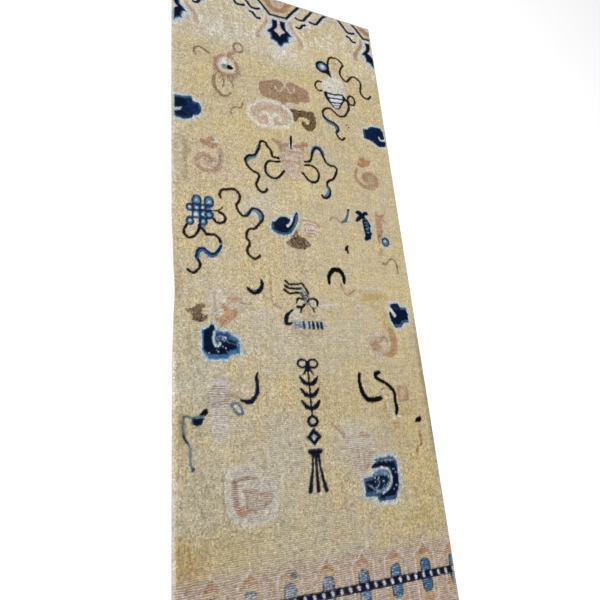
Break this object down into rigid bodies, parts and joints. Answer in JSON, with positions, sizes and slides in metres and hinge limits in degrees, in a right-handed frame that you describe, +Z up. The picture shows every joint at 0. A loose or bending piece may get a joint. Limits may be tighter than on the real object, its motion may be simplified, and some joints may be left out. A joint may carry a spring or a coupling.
{
  "type": "chinese pillar rug",
  "caption": "Long narrow hand-knotted wool pillar rug, lying flat, with a swag border at one end and a petal border at the other.",
  "frame": {"origin": "middle of the rug's underside, on the floor", "axes": "+Y along the rug towards the end with the swag border, +X to the right of someone who looks along +Y, +Z up out of the pile"},
  "size_m": [0.935, 2.45, 0.0092],
  "materials": {
    "wool_pile": "worn yellow wool pile with navy, light blue, rose-brown and pale pink knots"
  },
  "bodies": {
    "root": {"rug": "wool_pile"}
  },
  "joints": []
}
